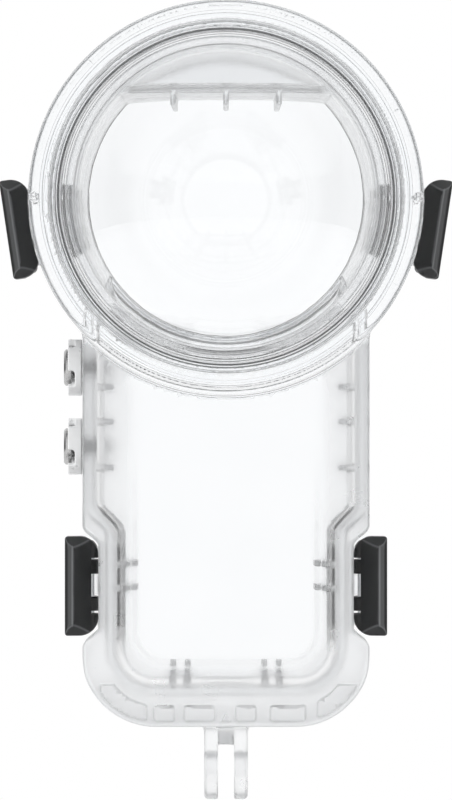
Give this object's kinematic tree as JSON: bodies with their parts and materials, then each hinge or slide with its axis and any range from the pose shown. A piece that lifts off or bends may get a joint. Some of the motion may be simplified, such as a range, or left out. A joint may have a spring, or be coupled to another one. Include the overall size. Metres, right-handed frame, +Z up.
{
  "type": "underwater camera housing",
  "caption": "Clear two-half dive housing for a dual-lens 360 degree camera, with two domes, side latches, push buttons and a two-finger mount.",
  "frame": {"origin": "centre of the mount bore, midway between the two fingers", "axes": "+Z up to the round head, front dome faces -Y, +X along the mount bore, buttons on the -X side"},
  "size_m": [0.093, 0.0968, 0.1641],
  "materials": {
    "clear_shell": "clear polycarbonate, lightly frosted inside",
    "clear_dome": "polished clear dome",
    "clear_ring": "clear moulded ring",
    "silicone_seal": "translucent silicone",
    "black_latch": "fine satin moulded black",
    "steel": "turned satin stainless steel",
    "button_rubber": "black O-ring rubber",
    "collar_plastic": "satin clear collar"
  },
  "bodies": {
    "main_half": {"rear_shell": "clear_shell", "rear_dome": "clear_dome", "rear_dome_seal": "silicone_seal", "rear_bezel": "clear_ring", "main_seal": "silicone_seal", "upper_left_latch_shell_pin": "steel", "upper_right_latch_shell_pin": "steel", "lower_left_latch_shell_pin": "steel", "lower_right_latch_shell_pin": "steel", "upper_button_spring": "steel", "upper_button_seal": "button_rubber", "upper_button_collar": "collar_plastic", "lower_button_spring": "steel", "lower_button_seal": "button_rubber", "lower_button_collar": "collar_plastic"},
    "cover": {"front_shell": "clear_shell", "front_dome": "clear_dome", "front_dome_seal": "silicone_seal", "front_bezel": "clear_ring"},
    "upper_left_link": {"upper_left_latch_link": "black_latch", "upper_left_latch_lever_pin": "steel"},
    "upper_left_lever": {"upper_left_latch_lever": "black_latch"},
    "upper_right_link": {"upper_right_latch_link": "black_latch", "upper_right_latch_lever_pin": "steel"},
    "upper_right_lever": {"upper_right_latch_lever": "black_latch"},
    "lower_left_link": {"lower_left_latch_link": "black_latch", "lower_left_latch_lever_pin": "steel"},
    "lower_left_lever": {"lower_left_latch_lever": "black_latch"},
    "lower_right_link": {"lower_right_latch_link": "black_latch", "lower_right_latch_lever_pin": "steel"},
    "lower_right_lever": {"lower_right_latch_lever": "black_latch"},
    "upper_button": {"upper_button_plunger": "steel", "upper_button_clip": "steel"},
    "lower_button": {"lower_button_plunger": "steel", "lower_button_clip": "steel"}
  },
  "joints": [
    {"name": "cover_lift", "type": "slide", "parent": "main_half", "child": "cover", "axis": [0, -1, 0], "range_m": [0, 0.06]},
    {"name": "upper_left_link_swing", "type": "hinge", "parent": "main_half", "child": "upper_left_link", "pos_m": [-0.04184, 0.011, 0.11045], "axis": [0.1478, 0, -0.989], "range_deg": [0, 55]},
    {"name": "upper_left_lever_swing", "type": "hinge", "parent": "upper_left_link", "child": "upper_left_lever", "pos_m": [-0.04164, 0.0015, 0.11048], "axis": [0.1478, 0, -0.989], "range_deg": [0, 55]},
    {"name": "upper_right_link_swing", "type": "hinge", "parent": "main_half", "child": "upper_right_link", "pos_m": [0.04184, 0.011, 0.11045], "axis": [0.1478, 0, 0.989], "range_deg": [0, 55]},
    {"name": "upper_right_lever_swing", "type": "hinge", "parent": "upper_right_link", "child": "upper_right_lever", "pos_m": [0.04164, 0.0015, 0.11048], "axis": [0.1478, 0, 0.989], "range_deg": [0, 55]},
    {"name": "lower_left_link_swing", "type": "hinge", "parent": "main_half", "child": "lower_left_link", "pos_m": [-0.028, 0.011, 0.03705], "axis": [0, 0, -1], "range_deg": [0, 55]},
    {"name": "lower_left_lever_swing", "type": "hinge", "parent": "lower_left_link", "child": "lower_left_lever", "pos_m": [-0.0278, 0.0015, 0.03705], "axis": [0, 0, -1], "range_deg": [0, 55]},
    {"name": "lower_right_link_swing", "type": "hinge", "parent": "main_half", "child": "lower_right_link", "pos_m": [0.028, 0.011, 0.03705], "axis": [0, 0, 1], "range_deg": [0, 55]},
    {"name": "lower_right_lever_swing", "type": "hinge", "parent": "lower_right_link", "child": "lower_right_lever", "pos_m": [0.0278, 0.0015, 0.03705], "axis": [0, 0, 1], "range_deg": [0, 55]},
    {"name": "upper_button_press", "type": "slide", "parent": "main_half", "child": "upper_button", "axis": [1, 0, 0], "range_m": [0, 0.0016], "stiffness_N_per_m": 500, "springref_m": -0.002, "deforming": ["upper_button_spring"]},
    {"name": "lower_button_press", "type": "slide", "parent": "main_half", "child": "lower_button", "axis": [1, 0, 0], "range_m": [0, 0.0016], "stiffness_N_per_m": 500, "springref_m": -0.002, "deforming": ["lower_button_spring"]}
  ],
  "couplings": [
    {"joint": "upper_left_link_swing", "follows": "upper_left_lever_swing", "ratio": 1},
    {"joint": "upper_right_link_swing", "follows": "upper_right_lever_swing", "ratio": 1},
    {"joint": "lower_left_link_swing", "follows": "lower_left_lever_swing", "ratio": 1},
    {"joint": "lower_right_link_swing", "follows": "lower_right_lever_swing", "ratio": 1}
  ]
}
